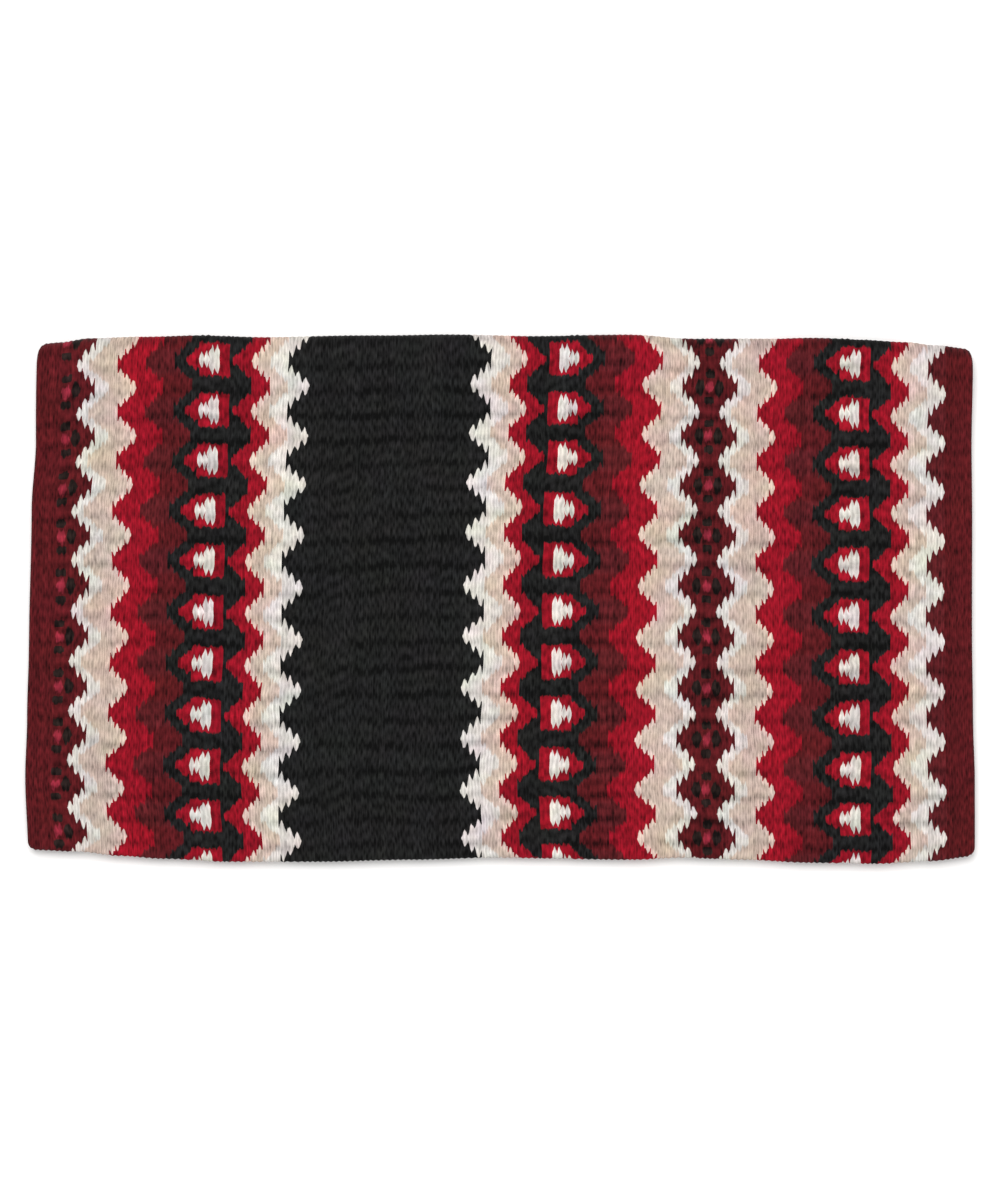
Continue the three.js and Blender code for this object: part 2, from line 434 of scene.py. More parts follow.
def edge_slopes(change, plies):
    """Cells by which the line of a change steps from each strand to the one on its left and right.

    The next strand's like change is looked for on the same cell and one cell each way. Where it has
    none, and on strands of one ply, the line runs level.
    """
    def shifted(cells, strands):
        """The changes read some cells and strands further on, the ends held."""
        rows = np.clip(np.arange(change.shape[0]) + cells, 0, change.shape[0] - 1)
        columns = np.clip(np.arange(change.shape[1]) + strands, 0, change.shape[1] - 1)
        return change[rows][:, columns]

    slopes = []
    for strands in (-1, 1):
        like = [shifted(cells, strands) == change for cells in (0, -1, 1)]
        slope = np.select(like, [0, -1, 1], 0)
        slopes.append(np.where((change != 0) & (plies == 2), slope, 0))
    return slopes


def yarn_edges(strands, rows):
    """The nearest change of yarn along each strand, for every space between two rows.

    Gives the lighter and the darker of its two yarns, where it is in cells, 1 if the lighter yarn
    lies beyond it or -1 if before, and its slopes to the left and right. Yarns are numbered from
    the darkest to the lightest, and changes lie on whole cells.
    """
    cells = np.arange(math.floor(rows[0]) - 1, math.ceil(rows[-1]) + 1)
    yarn = chart_yarn(strands.pick, cells[:, None], strands.end_yarn)
    change = np.zeros(yarn.shape, int)
    change[1:] = np.sign(yarn[1:] - yarn[:-1])
    left, right = edge_slopes(change, strands.plies)

    index = np.arange(len(cells))[:, None]
    last = len(cells) - 1
    before = np.maximum.accumulate(np.where(change, index, 0), axis=0)
    after = np.minimum.accumulate(np.where(change, index, last)[::-1], axis=0)[::-1]
    middle = (rows[:-1] + rows[1:]) / 2
    own = np.searchsorted(cells, middle, side="right") - 1
    before = before[own]
    after = after[np.minimum(own + 1, last)]
    to_before = np.where(before > 0, middle[:, None] - cells[before], NO_EDGE)
    to_after = np.where(after < last, cells[after] - middle[:, None], NO_EDGE)
    nearest = np.where(to_before <= to_after, before, after)
    lone = np.minimum(to_before, to_after) >= NO_EDGE

    strand = np.arange(yarn.shape[1])[None]
    here = yarn[own]
    over, under = yarn[nearest, strand], yarn[np.maximum(nearest - 1, 0), strand]
    light = np.where(lone, here, np.maximum(under, over))
    dark = np.where(lone, here, np.minimum(under, over))
    side = np.where(lone, 1, np.where(over > under, 1, -1))
    place = np.where(lone, middle[:, None] - NO_EDGE, cells[nearest])
    black_on_red = (dark == BLACK) & (light == RED)
    white_on_burgundy = (dark == BURGUNDY) & (light == WHITE)
    white_tip = white_on_burgundy & (strands.pick == TIP_PICK)
    draw_back = np.select(
        [black_on_red, white_tip, white_on_burgundy],
        [BLACK_SPREAD, TIP_DRAW - WHITE_SPREAD, -WHITE_SPREAD], 0)
    place = place + side * draw_back
    slope_left = np.where(lone, 0, left[nearest, strand])
    slope_right = np.where(lone, 0, right[nearest, strand])
    return YarnEdges(light, dark, place, side, slope_left, slope_right)


def valley_place(strands, edges, centre, edge, t, waist):
    """Place of the valley at a strand's left edge, which swings away from the fuller float."""
    left = np.clip(edge - 1, 0, len(centre) - 1)
    right = np.clip(edge, 0, len(centre) - 1)
    fuller = np.cos(math.pi * (t - centre[left])) - np.cos(math.pi * (t - centre[right]))
    single = (strands.plies[left] == 1) & (strands.plies[right] == 1)
    narrow = np.where(single, np.minimum(strands.width[left], strands.width[right]), 0)
    return edges[edge] + waist * narrow * fuller / 4


def from_groove(t, first):
    """Signed cells to the nearest of the grooves that begin at a cell and come once every pitch."""
    return np.mod(t - first + GROOVE_PITCH / 2, GROOVE_PITCH) - GROOVE_PITCH / 2


def cross_grooves(flat_x, along, t, from_end):
    """Depth of the cross grooves, about 1 in the middle of a main one.

    A bell curve for each groove, on cells that wander with a soft noise, times a second noise, and
    less near the turned ends.
    """
    wander = t + GROOVE_WANDER * soft_noise(flat_x, along, 17, low=2, high=12)
    groove = np.exp(-(from_groove(wander, GROOVE_FIRST) / GROOVE_WIDTH) ** 2)
    between = GROOVE_FIRST + GROOVE_PITCH / 2
    groove = groove + FAINT_SHARE * np.exp(-(from_groove(wander, between) / FAINT_WIDTH) ** 2)
    change = GROOVE_CHANGE * soft_noise(flat_x, along, 7, low=3, high=16)
    groove = groove * np.clip(1 + change, *GROOVE_LIMITS)
    return GROOVE_MEAN * groove * (END_DEPTH + (1 - END_DEPTH) * ease(from_end / END_LENGTH))


Cloth = namedtuple("Cloth", "outer inner groove rows columns strands")


def woven_cloth(sizes):
    """Outer and inner points of the folded cloth on one grid of weft rows and strand columns.

    The middle surface is flat along the lower layer, a half circle round the fold, and an eased
    descent from that loop on the upper layer. Points stand half a thickness off it both ways, less
    at the half round rims. On the outer side a float rises from its valleys as a sine across and a
    cosine along, and the valley between two strands swings towards the one whose float ends. Strands
    of two plies are lower and even along their length. Cross grooves lie a little deeper.
    """
    half = sizes.thickness / 2
    bend = (sizes.thickness + sizes.fold_gap) / 2
    quarter = bend * math.pi / 2
    strands = strand_layout(sizes.width)
    count = len(strands.pick)
    columns = strand_columns(count)

    edges = np.concatenate([[0.0], np.cumsum(strands.width)]) - sizes.width / 2
    flat_x = edges[columns.strand] + columns.across * strands.width[columns.strand]
    from_end = np.minimum(flat_x + sizes.width / 2, sizes.width / 2 - flat_x)
    corner = sizes.corner_radius * (1 - half_round(from_end, sizes.corner_radius))
    fold_y = read_table(FOLD_LINE, flat_x) * MM - corner
    upper_rim = read_table(FREE_EDGE, flat_x) * MM + corner
    lower_rim = upper_rim + sizes.set_back
    bow = read_table(ROW_BOW, flat_x) * MM
    bend_y = fold_y - half - bend
    upper_length = quarter + bend_y - upper_rim
    lower_length = quarter + bend_y - lower_rim
    cell = np.mean(upper_length) / sizes.cells
    lower_cells = np.mean(lower_length) / cell
    rows = cell_rows(sizes.cells, lower_cells, half / cell, half / cell)

    own = columns.strand
    crown = np.sin(math.pi * columns.across)
    t = rows[:, None]

    # Length along the weft from the fold, on the middle surface
    over = bow + (upper_length - bow) * np.maximum(t, 0) / sizes.cells
    over = over + read_table(CELL_DRIFT, t, unit=1) * MM
    under = bow - (lower_length + bow) * np.maximum(-t, 0) / lower_cells
    s = np.where(t >= 0, over, under)
    rim_distance = np.where(t >= 0, upper_length - s, lower_length + s)

    # Middle surface and its outward direction
    turn = np.clip(s / bend, -math.pi / 2, math.pi / 2)
    run_out = np.maximum(np.abs(s) - quarter, 0)
    y = bend_y + bend * np.cos(turn) - run_out
    swell = 1 - ease(run_out / sizes.swell_length)
    wave = np.sin(2 * math.pi * flat_x / WAVE_ALONG) * np.sin(2 * math.pi * y / WAVE_ACROSS)
    upper_z = sizes.thickness * 1.5 + sizes.layer_gap
    loop_top = half + 2 * bend
    descent = (loop_top - upper_z) * (1 - swell) - (1 - swell) * sizes.wave_height * wave ** 2
    z = half + bend + bend * np.sin(turn) - np.where(s > quarter, descent, 0)
    out_y = np.cos(turn)
    out_z = np.sin(turn)

    # Floats: how full each strand is along the weft, with a little spread from float to float
    draw = np.random.default_rng(11)
    centre = strands.phase + draw.uniform(-FLOAT_SHIFT, FLOAT_SHIFT, count)
    float_number = np.floor((t - centre[own] + 1) / 2).astype(int)
    spread = draw.uniform(*FLOAT_PLUMP, (count, int(np.ptp(rows)) + 8))
    plump = spread[own, float_number - float_number.min()]
    left = valley_place(strands, edges, centre, own, t, sizes.waist)
    right = valley_place(strands, edges, centre, own + 1, t, sizes.waist)
    x = left + (right - left) * columns.across
    along = t * cell
    sideways = STRAND_WANDER * soft_noise(flat_x, along, 5, low=8, high=30)
    x = x + sideways * half_round(from_end, 3 * half)

    full = FLOAT_LOW + (1 - FLOAT_LOW) * (1 + np.cos(math.pi * (t - centre[own]))) / 2
    relief = crown * np.where(strands.plies[own] == 1, full, PLY_HEIGHT) * plump
    groove = cross_grooves(flat_x, along, t, from_end)
    raised = sizes.strand_relief * (relief - 1) - sizes.groove_depth * groove

    round_off = np.minimum(half_round(rim_distance, half), half_round(from_end, half))
    outer_off = round_off * (half + raised)
    inner_off = -round_off * half

    # Weft loops stand a little out of the free edges, ridge by ridge
    loop = LOOP_HEIGHT * crown * np.clip(1 - rim_distance / (2 * half), 0, 1)
    lean = read_table(LEAN_SHARE, flat_x)
    shift_x = read_table(SIDE_DRIFT, flat_x) - read_table(LEFT_END, y) * lean
    shift_x = shift_x + read_table(RIGHT_END, y) * (1 - lean)
    drift_y = ROW_WANDER * soft_noise(flat_x, along, 3, low=3, high=14)
    drift_y = drift_y * half_round(rim_distance, 4 * half)
    upper_side = np.where(t >= 0, 1.0, 0.0)

    def points(off):
        """Points that stand off the middle surface by a length, along its outward direction."""
        side = np.where(np.abs(s) > quarter, 0, out_y)
        place_y = y + off * side - loop + drift_y * upper_side
        return np.stack([x + shift_x * MM, place_y, z + off * out_z], axis=-1)

    return Cloth(points(outer_off), points(inner_off), groove, rows, columns, strands)


def inner_row_choice(rows):
    """Rows that the hidden inner side keeps: the rims, the fold, and one in every sixteen cells."""
    rim = len(RIM_SHARES)
    index = np.arange(len(rows))
    keep = (index < rim) | (index >= len(rows) - rim)
    whole = np.isclose(np.mod(rows, 1), 0)
    near_fold = np.abs(rows) <= 2
    spaced = np.isclose(np.mod(rows, 2 * CELLS_PER_REPEAT), 0)
    return index[keep | (whole & near_fold) | spaced]


def cloth_faces(cloth):
    """Points and faces of the closed cloth: the outer grid, the inner grid, and the rims they share.

    The inner grid has fewer rows, so its last face at each end takes in all the rim points between.
    """
    row_count, column_count = cloth.outer.shape[:2]
    outer = np.arange(row_count * column_count).reshape(row_count, column_count)
    chosen = inner_row_choice(cloth.rows)
    inner = outer[chosen].copy()
    inside = cloth.inner[chosen[1:-1], 1:-1].reshape(-1, 3)
    inner[1:-1, 1:-1] = outer.size + np.arange(len(inside)).reshape(len(chosen) - 2, column_count - 2)
    points = np.concatenate([cloth.outer.reshape(-1, 3), inside])

    outer_quads = np.stack([outer[:-1, :-1], outer[1:, :-1], outer[1:, 1:], outer[:-1, 1:]], axis=-1)
    inner_quads = np.stack([inner[:-1, :-1], inner[:-1, 1:], inner[1:, 1:], inner[1:, :-1]], axis=-1)
    ends = []
    for k in range(len(chosen) - 1):
        rim_rows = np.arange(chosen[k], chosen[k + 1] + 1)
        ends.append([*inner[[k, k + 1], 1], *outer[rim_rows[::-1], 0]])
        ends.append([*inner[[k + 1, k], -2], *outer[rim_rows, -1]])
    return points, outer_quads, inner_quads[:, 1:-1], chosen, ends


PALE_SPREAD = 0.5       # how much less the pale yarns differ from float to float
STEP_LIMITS = (0.5, 1.6)    # least and most that a float's step makes of its brightness
SHADE_RATE = (0.2, 0.45)    # spread of how fast the shade of a ply's floats wanders, in radians a cell
SHADE_START = 40        # keeps those wanderings apart from each other


def yarn_palette(colours):
    """The yarn colours as rows, in the order of the yarn numbers."""
    return np.array([
        colours.black, colours.umber, colours.brown, colours.burgundy, colours.rose,
        colours.red, colours.tan, colours.cream, colours.white,
    ])


Faces = namedtuple("Faces", "strand left right ply")


def face_columns(cloth):
    """For each column of outer faces: its strand, where its two sides lie across it, and its ply.

    A face is one half of a strand, and so one ply where a strand has two.
    """
    columns = cloth.columns
    strand = columns.strand[:-1]
    left = columns.across[:-1]
    right = np.where(columns.across[1:] == 0, 1.0, columns.across[1:])
    ply = np.where(cloth.strands.plies[strand] == 2, left >= 0.5, 0)
    return Faces(strand, left, right, ply)


def at_corners(shape, lower_left, upper_left, upper_right, lower_right):
    """Four arrays, spread to one shape of faces, side by side in the order of a face's corners."""
    parts = (lower_left, upper_left, upper_right, lower_right)
    return np.stack([np.broadcast_to(part, shape) for part in parts], axis=-1)


def side_corners(shape, left, right):
    """A value that changes only across the strand, at the four corners of each face."""
    return at_corners(shape, left, left, right, right)


def row_corners(shape, value):
    """A value given row by row, at the four corners of each face between two rows."""
    return at_corners(shape, value[:-1], value[1:], value[1:], value[:-1])


def float_values(cloth, colours, faces):
    """Each face's step of brightness, and at each row how high its float lies, from 0 at its ends to 1.

    Every float and every ply has its own step. The height is a raised cosine of two cells, whose
    start differs from ply to ply and wanders along it as a slow sine.
    """
    rows = cloth.rows[:, None]
    plies = 2 * len(cloth.strands.pick)
    own = 2 * faces.strand + faces.ply
    phase = (cloth.strands.phase[faces.strand] + faces.ply) % 2
    number = np.floor(((rows[:-1] + rows[1:]) / 2 - phase + 1) / 2).astype(int)
    number -= number.min()
    draw = np.random.default_rng(23)
    steps = draw.normal(0, colours.float_change, (plies, number.max() + 1))
    steps += draw.normal(0, colours.strand_change, (plies, 1))
    slip = draw.normal(0, colours.float_slip, plies)[own]
    rate = draw.uniform(*SHADE_RATE, plies)[own]
    slip = slip + colours.float_slip * np.sin(rate * rows + SHADE_START * rate)
    lie = 0.5 + 0.5 * np.cos(math.pi * (rows - phase - slip))
    return steps[own, number], lie


ChangeValues = namedtuple("ChangeValues", "light dark edge valley")


def change_values(cloth, faces, shape):
    """The nearest change of yarn on every outer face, and what its corners need to draw it.

    At each corner: the signed cells from the line of the change to where the lighter yarn ends, and
    how near the valley between two strands is. The line slants with the next strand's, or follows
    the lozenge's own table. The lighter yarn passes it as a pointed finger on the ridge.
    """
    strands = cloth.strands
    strand = faces.strand
    edges = yarn_edges(strands, cloth.rows)
    light, dark = edges.light[:, strand], edges.dark[:, strand]
    place = edges.place[:, strand]
    unlike = (light >= TAN) & (dark < TAN)
    dotted = (light == ROSE) | (dark == UMBER)
    from_bar = np.mod(place - FIRST_ARROW_CELL, CELLS_PER_REPEAT) - CELLS_PER_REPEAT / 2

    def line(across):
        """Where the line of the change lies at a place across the strand, in cells."""
        slope = edges.left[:, strand] * np.maximum(0.5 - across, 0)
        slope = slope + edges.right[:, strand] * np.maximum(across - 0.5, 0)
        shift = FINGER_SLANT * slope
        outward = np.where(strands.rightward[strand], across, 1 - across)
        for (pick, number), reach in LOZENGE_REACH.items():
            found = (strands.pick[strand] == pick) & (np.abs(from_bar) == number)
            own_shift = np.sign(from_bar) * (np.interp(outward, (0, 0.5, 1), reach) - number)
            shift = np.where(found, own_shift, shift)
        return place + shift

    def finger(across):
        """How far the lighter yarn passes that line: most at the ridge, and less between like yarns."""
        length = np.where(unlike, 1.0, np.where(dotted, 0.0, LIKE_FINGER))
        return length * (FINGER_TIP - (FINGER_TIP + FINGER_ROOT) * np.abs(2 * across - 1))

    def valley(across):
        """How near the valley is, 0 at the ridge to 1, and less between like yarns and on one ply."""
        open_share = np.where(strands.plies[strand] == 2, 1.0, SINGLE_GAP)
        return np.where(unlike, open_share, LIKE_GAP) * np.abs(2 * across - 1)

    def both_sides(value):
        """A reading at the two sides of each face, at its four corners."""
        return side_corners(shape, value(faces.left), value(faces.right))

    beyond = row_corners(shape, cloth.rows[:, None]) - both_sides(line)
    edge = edges.side[:, strand, None] * beyond + both_sides(finger)
    sharp = np.where(unlike, 1.0, np.where(dark <= UMBER, BLACK_SHARP, LIKE_SHARP))
    return ChangeValues(light, dark, edge * sharp[..., None], both_sides(valley))


CornerValues = namedtuple("CornerValues", "light dark edge valley lie groove weft")


def corner_values(cloth, colours):
    """What the shader reads at the four corners of each outer face.

    The colours of the lighter and the darker yarn of the nearest change, with their float's step of
    brightness; the length to that change and the valley; how high the float lies; the cross groove;
    and the weft coordinates, plies across and cells along.
    """
    palette = yarn_palette(colours)
    rows = cloth.rows
    faces = face_columns(cloth)
    shape = (len(rows) - 1, len(faces.strand))
    step, full = float_values(cloth, colours, faces)
    change = change_values(cloth, faces, shape)

    def dyed(yarn):
        """Colour of a yarn on every face, with its float's step, at all four corners."""
        spread = np.where(yarn >= TAN, PALE_SPREAD, 1.0)
        colour = palette[yarn] * np.clip(1 + spread * step, *STEP_LIMITS)[..., None]
        return np.repeat(colour[:, :, None, :], 4, axis=2)

    lie = row_corners(shape, full)
    deep = cloth.groove
    groove = at_corners(shape, deep[:-1, :-1], deep[1:, :-1], deep[1:, 1:], deep[:-1, 1:])
    plies = cloth.strands.plies
    first_ply = (np.cumsum(plies) - plies)[faces.strand]
    u_left = first_ply + faces.left * plies[faces.strand]
    u_right = first_ply + faces.right * plies[faces.strand]
    u = side_corners(shape, u_left, u_right)
    weft = np.stack([u, row_corners(shape, rows[:, None])], axis=-1)
    light, dark = dyed(change.light), dyed(change.dark)
    return CornerValues(light, dark, change.edge, change.valley, lie, groove, weft)


def inner_values(cloth, colours, chosen):
    """Colour of the hidden inner faces: each strand's own yarn at the middle of the face, in shade."""
    palette = yarn_palette(colours)
    strand = cloth.columns.strand[1:-2]
    rows = cloth.rows[chosen]
    cell = np.floor((rows[:-1] + rows[1:]) / 2)[:, None]
    yarn = chart_yarn(cloth.strands.pick[strand], cell, cloth.strands.end_yarn[strand])
    return palette[yarn] * colours.inside


def cloth_mesh(name, cloth, colours):
    """The closed mesh, its yarn colours, weft coordinates, and the sharp lines between strands."""
    points, outer_quads, inner_quads, chosen, ends = cloth_faces(cloth)
    faces = [*outer_quads.reshape(-1, 4).tolist(), *inner_quads.reshape(-1, 4).tolist(), *ends]
    mesh = bpy.data.meshes.new(name)
    mesh.from_pydata(points.tolist(), [], [[int(p) for p in face] for face in faces])

    values = corner_values(cloth, colours)
    inner_colour = np.repeat(inner_values(cloth, colours, chosen).reshape(-1, 3), 4, axis=0)
    end_size = sum(len(face) for face in ends)
    # Painted shade: the faces at the turned ends take the burgundy yarn darkened by the same share as
    # the inner side
    end_colour = np.tile(np.array(colours.burgundy) * colours.inside, (end_size, 1))
    for layer_name, outer_colour in (("light_yarn", values.light), ("dark_yarn", values.dark)):
        colour = np.concatenate([outer_colour.reshape(-1, 3), inner_colour, end_colour])
        rgba = np.concatenate([colour, np.ones((len(colour), 1))], axis=1)
        layer = mesh.color_attributes.new(layer_name, "FLOAT_COLOR", "CORNER")
        layer.data.foreach_set("color", rgba.astype(np.float32).ravel())
    scalars = (
        ("yarn_edge", values.edge, NO_EDGE),
        ("strand_valley", values.valley, 0.0),
        ("float_lie", values.lie, 0.5),
        ("cross_groove", values.groove, 0.0),
    )
    for layer_name, outer_value, hidden in scalars:
        value = np.full(len(mesh.loops), hidden, np.float32)
        value[:outer_value.size] = outer_value.ravel()
        layer = mesh.attributes.new(layer_name, "FLOAT", "CORNER")
        layer.data.foreach_set("value", value)
    weft = np.zeros((len(mesh.loops), 2))
    weft[:values.edge.size] = values.weft.reshape(-1, 2)
    layer = mesh.uv_layers.new(name="weft")
    layer.data.foreach_set("uv", weft.astype(np.float32).ravel())

    column_count = cloth.outer.shape[1]
    outer_count = cloth.outer.shape[0] * column_count
    pairs = np.empty(len(mesh.edges) * 2, int)
    mesh.edges.foreach_get("vertices", pairs)
    pairs = pairs.reshape(-1, 2)
    column = pairs % column_count
    in_outer = (pairs < outer_count).all(axis=1) & (column[:, 0] == column[:, 1])
    between = cloth.columns.across[column[:, 0]] == 0
    sharp = mesh.attributes.new("sharp_edge", "BOOLEAN", "EDGE")
    sharp.data.foreach_set("value", in_outer & between & (column[:, 0] > 0))
    mesh.polygons.foreach_set("use_smooth", np.ones(len(mesh.polygons), bool))
    mesh.validate(clean_customdata=False)
    mesh.update()
    return mesh


def add_node(tree, kind, place, **values):
    """A shader node at a place, with its settings, or its inputs where the name is an input's."""
    node = tree.nodes.new(kind)
    node.location = place
    for name, value in values.items():
        if hasattr(node, name):
            setattr(node, name, value)
        else:
            node.inputs[name.replace("_", " ")].default_value = value
    return node


def calculate(tree, place, operation, *values):
    """Result of a maths node at a place, fed by sockets or by plain numbers."""
    node = tree.nodes.new("ShaderNodeMath")
    node.operation = operation
    node.location = place
    for socket, value in zip(node.inputs, values):
        if isinstance(value, bpy.types.NodeSocket):
            tree.links.new(value, socket)
        else:
            socket.default_value = value
    return node.outputs["Value"]


def remap(tree, place, value, span, result):
    """Result of a clamped map from one span of values to another."""
    node = tree.nodes.new("ShaderNodeMapRange")
    node.location = place
    tree.links.new(value, node.inputs["Value"])
    node.inputs["From Min"].default_value, node.inputs["From Max"].default_value = span
    node.inputs["To Min"].default_value, node.inputs["To Max"].default_value = result
    return node.outputs["Result"]


def stretched_noise(tree, place, vector, scale, turn, detail):
    """A noise node on a vector that is first scaled and turned."""
    mapping = add_node(tree, "ShaderNodeMapping", place)
    mapping.inputs["Scale"].default_value = scale
    mapping.inputs["Rotation"].default_value = (0, 0, math.radians(turn))
    tree.links.new(vector, mapping.inputs["Vector"])
    noise = add_node(tree, "ShaderNodeTexNoise", (place[0] + 200, place[1]), Scale=1.0, Detail=detail)
    noise.inputs["Roughness"].default_value = 0.6
    tree.links.new(mapping.outputs["Vector"], noise.inputs["Vector"])
    return noise


def yarn_cover(tree, weft):
    """1 where the lighter yarn shows, 0 where the darker one does, and no two fingers quite alike."""
    rough = stretched_noise(tree, (-700, 600), weft, (1.3, 0.5, 1.0), 0, 2.0)
    rough = remap(tree, (-300, 600), rough.outputs["Fac"], (0.25, 0.75), (-0.3, 0.3))
    edge = add_node(tree, "ShaderNodeAttribute", (-500, 300), attribute_name="yarn_edge")
    valley = add_node(tree, "ShaderNodeAttribute", (-500, 100), attribute_name="strand_valley")
    gap = remap(tree, (-300, 100), valley.outputs["Fac"], (0.4, 0.75), (0.0, -0.3))
    reach = calculate(tree, (-100, 300), "ADD", rough, edge.outputs["Fac"])
    reach = calculate(tree, (100, 300), "ADD", reach, gap)
    return remap(tree, (300, 300), reach, (-0.1, 0.1), (0.0, 1.0))


PLY_SHADE = 0.26            # how much the roundness of a ply shades its colour
DARKEST = 0.2               # the least that all shades leave of a yarn's colour
BUMP_HEIGHT = 0.9 * MM      # height of the plies and fibres drawn in the material


def wool_material():
    """Matt wool: pointed yarn changes, round plies, and fibres that wind along them."""
    material = bpy.data.materials.new("weft_wool")
    material.use_nodes = True
    tree = material.node_tree
    tree.nodes.clear()
    link = tree.links.new
    output = add_node(tree, "ShaderNodeOutputMaterial", (1700, 0))
    wool = add_node(tree, "ShaderNodeBsdfPrincipled", (1400, 0), Roughness=0.95)
    wool.inputs["Specular IOR Level"].default_value = 0.1
    wool.inputs["Sheen Weight"].default_value = 0.04
    wool.inputs["Sheen Roughness"].default_value = 0.5
    link(wool.outputs["BSDF"], output.inputs["Surface"])

    weft_map = add_node(tree, "ShaderNodeUVMap", (-1500, 0), uv_map="weft")
    weft = weft_map.outputs["UV"]
    split = add_node(tree, "ShaderNodeSeparateXYZ", (-1300, 0))
    link(weft, split.inputs["Vector"])

    light = add_node(tree, "ShaderNodeVertexColor", (300, 100), layer_name="light_yarn")
    dark = add_node(tree, "ShaderNodeVertexColor", (300, -50), layer_name="dark_yarn")
    yarn = add_node(tree, "ShaderNodeMix", (600, 200), data_type="RGBA")
    link(yarn_cover(tree, weft), yarn.inputs["Factor"])
    link(dark.outputs["Color"], yarn.inputs["A"])
    link(light.outputs["Color"], yarn.inputs["B"])

    # Light and shade of the plies, which wander a little, their floats and their fibres
    wander = stretched_noise(tree, (-1100, -300), weft, (0.2, 0.7, 1.0), 0, 1.0)
    ply = calculate(tree, (-700, -300), "MULTIPLY_ADD", wander.outputs["Fac"], 1.0, split.outputs["X"])
    ply = calculate(tree, (-500, -300), "PINGPONG", ply, 0.5)
    ply_shade = remap(tree, (-300, -300), ply, (0.0, 0.4), (-0.7, 0.3))
    lie = add_node(tree, "ShaderNodeAttribute", (-700, -500), attribute_name="float_lie")
    lie_shade = remap(tree, (-300, -500), lie.outputs["Fac"], (0.0, 1.0), (-0.33, 0.37))
    groove = add_node(tree, "ShaderNodeAttribute", (-700, -600), attribute_name="cross_groove")
    fibre = stretched_noise(tree, (-1100, -700), weft, (1.3, 0.45, 1.0), 8, 4.0)
    fibre_shade = calculate(tree, (-500, -700), "MULTIPLY_ADD", fibre.outputs["Fac"], 3.0, -1.5)
    # Painted shade: the ends of the floats darker and their middles lighter, added to the fibres' own
    # mottling
    painted_float_shade_and_fibres = calculate(tree, (100, -500), "ADD", lie_shade, fibre_shade)

    # Dark yarns get more of the painted float shade and the fibre mottling than pale ones, black most of
    # all, and black gets the darkest painted shade in its cross grooves
    paleness = add_node(tree, "ShaderNodeRGBToBW", (700, -50))
    link(yarn.outputs["Result"], paleness.inputs["Color"])
    strength = remap(tree, (850, -200), paleness.outputs["Val"], (0.02, 0.5), (0.64, 0.25))
    black_part = remap(tree, (850, -100), paleness.outputs["Val"], (0.011, 0.022), (0.55, 0.0))
    strength = calculate(tree, (1000, -200), "ADD", strength, black_part)
    # Painted shade in the cross grooves, darkest on black yarn
    depth = remap(tree, (850, -300), paleness.outputs["Val"], (0.012, 0.03), (-0.65, -0.28))
    shade = calculate(tree, (850, -400), "MULTIPLY_ADD", ply_shade, PLY_SHADE, 1.0)
    shade = calculate(tree, (1000, -400), "MULTIPLY_ADD", painted_float_shade_and_fibres, strength, shade)
    shade = calculate(tree, (1000, -500), "MULTIPLY_ADD", groove.outputs["Fac"], depth, shade)
    shade = calculate(tree, (1150, -400), "MAXIMUM", shade, DARKEST)

    # Slow changes of tint; the vector sockets of the map come after its number sockets
    place = add_node(tree, "ShaderNodeTexCoord", (-1500, -900))
    cloud = stretched_noise(tree, (-1100, -1000), place.outputs["Object"], (26.0, 26.0, 26.0), 0, 3.0)
    tint = add_node(tree, "ShaderNodeMapRange", (-500, -1000), data_type="FLOAT_VECTOR")
    link(cloud.outputs["Color"], tint.inputs["Vector"])
    spans = ((0.3, 0.3, 0.3), (0.7, 0.7, 0.7), (0.95, 0.94, 0.94), (1.05, 1.06, 1.06))
    for socket, value in zip(tint.inputs[7:11], spans):
        socket.default_value = value
    tinted = add_node(tree, "ShaderNodeVectorMath", (950, 200), operation="MULTIPLY")
    link(yarn.outputs["Result"], tinted.inputs[0])
    link(tint.outputs["Vector"], tinted.inputs[1])
    dyed = add_node(tree, "ShaderNodeVectorMath", (1200, 200), operation="SCALE")
    link(tinted.outputs["Vector"], dyed.inputs[0])
    link(shade, dyed.inputs["Scale"])
    link(dyed.outputs["Vector"], wool.inputs["Base Color"])

    height = calculate(tree, (100, -800), "ADD", ply, fibre.outputs["Fac"])
    height = calculate(tree, (300, -800), "MULTIPLY_ADD", lie.outputs["Fac"], 0.4, height)
    bump = add_node(tree, "ShaderNodeBump", (1100, -700), Strength=0.7, Distance=BUMP_HEIGHT)
    link(height, bump.inputs["Height"])
    link(bump.outputs["Normal"], wool.inputs["Normal"])
    return material


class BLANKET_OT_weave(bpy.types.Operator):
    """Weave the folded blanket as one closed cloth, strand by strand"""

    bl_idname = "blanket.weave"
    bl_label = "Weave Blanket"

    def execute(self, context):
        sizes = context.scene.blanket_sizes
        cloth = woven_cloth(sizes)
        mesh = cloth_mesh("woven_blanket", cloth, context.scene.yarn_colours)
        mesh.materials.append(wool_material())
        low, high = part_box(CLOTH_NODE)
        points = np.empty(len(mesh.vertices) * 3)
        mesh.vertices.foreach_get("co", points)
        points = points.reshape(-1, 3)
        middle = (points.min(axis=0) + points.max(axis=0)) / 2
        points[:, 0] += (low[0] + high[0]) / 2 - middle[0]
        points[:, 1] += (low[1] + high[1]) / 2 - middle[1]
        points[:, 2] += low[2] - points[:, 2].min()
        mesh.vertices.foreach_set("co", points.ravel())
        mesh.update()

        blanket = bpy.data.objects.new("woven_blanket", mesh)
        context.scene.collection.objects.link(blanket)
        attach(blanket, "root")
        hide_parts(CLOTH_NODE)
        return {"FINISHED"}


# Studio, in metres: where the two lights hang, how wide they are, and what they and the camera aim at
KEY_PLACE = (-0.3, 1.0, 2.8)
KEY_SIDE = 1.6
FILL_PLACE = (0.5, -0.9, 2.8)
FILL_SIDE = 2.4
AIM_Y = -1.0 * MM
AIM_HEIGHT = CAD_BOX[1][2] * 0.75


